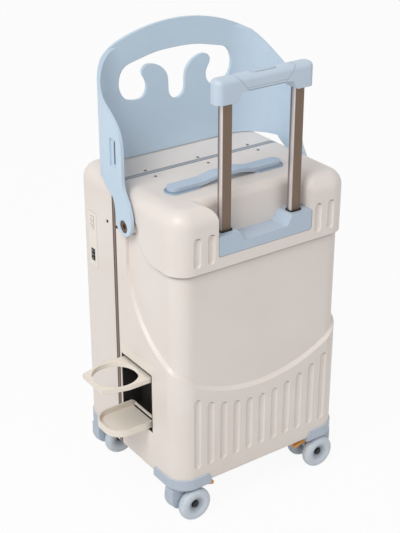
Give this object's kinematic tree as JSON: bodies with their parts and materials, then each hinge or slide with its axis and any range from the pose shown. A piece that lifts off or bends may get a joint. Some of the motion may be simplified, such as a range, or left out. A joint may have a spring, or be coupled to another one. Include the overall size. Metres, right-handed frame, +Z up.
{
  "type": "ride on suitcase",
  "caption": "Hard-shell cabin suitcase a child can ride, with a swing guard, telescopic handle, fold-out cup holder and braked swivel casters.",
  "frame": {"origin": "the floor under the middle of the bounding box, with the cup holder folded out", "axes": "+Z up, +Y from the telescopic handle's side to the lid, +X to the right seen from the handle's side"},
  "size_m": [0.4226, 0.293, 0.7635],
  "materials": {
    "shell": "satin, fine grain",
    "blue": "satin",
    "frame": "anodised brown grey",
    "tube": "anodised bronze",
    "steel": "brushed",
    "black": "matte",
    "wheel": "matte",
    "orange": "gloss"
  },
  "bodies": {
    "case": {"rear_shell": "shell", "rear_frame": "frame", "rear_rivets": "steel", "hinge_rear_leaves": "steel", "hinge_pins": "steel", "guard_pivots": "steel", "trolley_base": "blue", "trolley_seals": "black", "trolley_guides": "tube", "carry_handle_feet": "blue", "cup_liner": "black", "cup_bezel": "shell", "bumper_rear_left": "blue", "bumper_rear_right": "blue"},
    "lid": {"front_lid": "shell", "lid_frame": "frame", "lid_rivets": "steel", "hinge_lid_leaves": "steel", "lock_panel": "shell", "lock_axle": "steel", "bumper_front_left": "blue", "bumper_front_right": "blue"},
    "dial_1": {"lock_dial_1": "black"},
    "dial_2": {"lock_dial_2": "black"},
    "dial_3": {"lock_dial_3": "black"},
    "lock_button": {"lock_button": "black"},
    "guard": {"guard": "blue"},
    "trolley": {"trolley_tubes": "tube", "trolley_grip": "blue"},
    "trolley_button": {"trolley_button": "blue"},
    "carry_handle": {"carry_handle": "blue"},
    "cup_ring": {"cup_ring": "shell"},
    "cup_tray": {"cup_tray": "shell"},
    "caster_rear_left": {"caster_fork_rear_left": "blue"},
    "wheel_pair_rear_left": {"wheels_rear_left": "wheel", "axle_rear_left": "steel"},
    "pedal_rear_left": {"brake_pedal_rear_left": "orange"},
    "caster_rear_right": {"caster_fork_rear_right": "blue"},
    "wheel_pair_rear_right": {"wheels_rear_right": "wheel", "axle_rear_right": "steel"},
    "pedal_rear_right": {"brake_pedal_rear_right": "orange"},
    "caster_front_left": {"caster_fork_front_left": "blue"},
    "wheel_pair_front_left": {"wheels_front_left": "wheel", "axle_front_left": "steel"},
    "pedal_front_left": {"brake_pedal_front_left": "orange"},
    "caster_front_right": {"caster_fork_front_right": "blue"},
    "wheel_pair_front_right": {"wheels_front_right": "wheel", "axle_front_right": "steel"},
    "pedal_front_right": {"brake_pedal_front_right": "orange"}
  },
  "joints": [
    {"name": "lid_hinge", "type": "hinge", "parent": "case", "child": "lid", "pos_m": [0.20675, 0.0285, 0.17], "axis": [0, 0, -1], "range_deg": [0, 90]},
    {"name": "dial_1_turn", "type": "hinge", "parent": "lid", "child": "dial_1", "pos_m": [-0.12275, 0.096, 0.39], "axis": [0, 0, 1], "continuous": true},
    {"name": "dial_2_turn", "type": "hinge", "parent": "lid", "child": "dial_2", "pos_m": [-0.12275, 0.096, 0.3968], "axis": [0, 0, 1], "continuous": true},
    {"name": "dial_3_turn", "type": "hinge", "parent": "lid", "child": "dial_3", "pos_m": [-0.12275, 0.096, 0.4036], "axis": [0, 0, 1], "continuous": true},
    {"name": "lock_button_press", "type": "slide", "parent": "lid", "child": "lock_button", "axis": [1, 0, 0], "range_m": [0, 0.0025], "stiffness_N_per_m": 400},
    {"name": "guard_pivot", "type": "hinge", "parent": "case", "child": "guard", "pos_m": [0.03675, -0.0135, 0.491], "axis": [1, 0, 0], "range_deg": [0, 35]},
    {"name": "trolley_slide", "type": "slide", "parent": "case", "child": "trolley", "axis": [0, 0, 1], "range_m": [-0.198, 0.13]},
    {"name": "trolley_button_press", "type": "slide", "parent": "trolley", "child": "trolley_button", "axis": [0, 0, -1], "range_m": [0, 0.003], "stiffness_N_per_m": 400},
    {"name": "carry_handle_lift", "type": "slide", "parent": "case", "child": "carry_handle", "axis": [0, 0, 1], "range_m": [0, 0.012]},
    {"name": "cup_ring_fold", "type": "hinge", "parent": "case", "child": "cup_ring", "pos_m": [-0.12425, -0.0265, 0.242], "axis": [0, -1, 0], "range_deg": [0, 90]},
    {"name": "cup_tray_fold", "type": "hinge", "parent": "case", "child": "cup_tray", "pos_m": [-0.11125, -0.0265, 0.152], "axis": [0, 1, 0], "range_deg": [0, 90]},
    {"name": "swivel_rear_left", "type": "hinge", "parent": "case", "child": "caster_rear_left", "pos_m": [-0.10925, -0.1165, 0.06], "axis": [0, 0, 1], "continuous": true},
    {"name": "roll_rear_left", "type": "hinge", "parent": "caster_rear_left", "child": "wheel_pair_rear_left", "pos_m": [-0.09325, -0.1165, 0.029], "axis": [0, 1, 0], "continuous": true},
    {"name": "brake_rear_left", "type": "hinge", "parent": "caster_rear_left", "child": "pedal_rear_left", "pos_m": [-0.07275, -0.1165, 0.054], "axis": [0, 1, 0], "range_deg": [0, 10]},
    {"name": "swivel_rear_right", "type": "hinge", "parent": "case", "child": "caster_rear_right", "pos_m": [0.18275, -0.1165, 0.06], "axis": [0, 0, 1], "continuous": true},
    {"name": "roll_rear_right", "type": "hinge", "parent": "caster_rear_right", "child": "wheel_pair_rear_right", "pos_m": [0.16675, -0.1165, 0.029], "axis": [0, 1, 0], "continuous": true},
    {"name": "brake_rear_right", "type": "hinge", "parent": "caster_rear_right", "child": "pedal_rear_right", "pos_m": [0.14625, -0.1165, 0.054], "axis": [0, -1, 0], "range_deg": [0, 10]},
    {"name": "swivel_front_left", "type": "hinge", "parent": "lid", "child": "caster_front_left", "pos_m": [-0.10925, 0.1165, 0.06], "axis": [0, 0, 1], "continuous": true},
    {"name": "roll_front_left", "type": "hinge", "parent": "caster_front_left", "child": "wheel_pair_front_left", "pos_m": [-0.09325, 0.1165, 0.029], "axis": [0, 1, 0], "continuous": true},
    {"name": "brake_front_left", "type": "hinge", "parent": "caster_front_left", "child": "pedal_front_left", "pos_m": [-0.07275, 0.1165, 0.054], "axis": [0, 1, 0], "range_deg": [0, 10]},
    {"name": "swivel_front_right", "type": "hinge", "parent": "lid", "child": "caster_front_right", "pos_m": [0.18275, 0.1165, 0.06], "axis": [0, 0, 1], "continuous": true},
    {"name": "roll_front_right", "type": "hinge", "parent": "caster_front_right", "child": "wheel_pair_front_right", "pos_m": [0.16675, 0.1165, 0.029], "axis": [0, 1, 0], "continuous": true},
    {"name": "brake_front_right", "type": "hinge", "parent": "caster_front_right", "child": "pedal_front_right", "pos_m": [0.14625, 0.1165, 0.054], "axis": [0, -1, 0], "range_deg": [0, 10]}
  ]
}
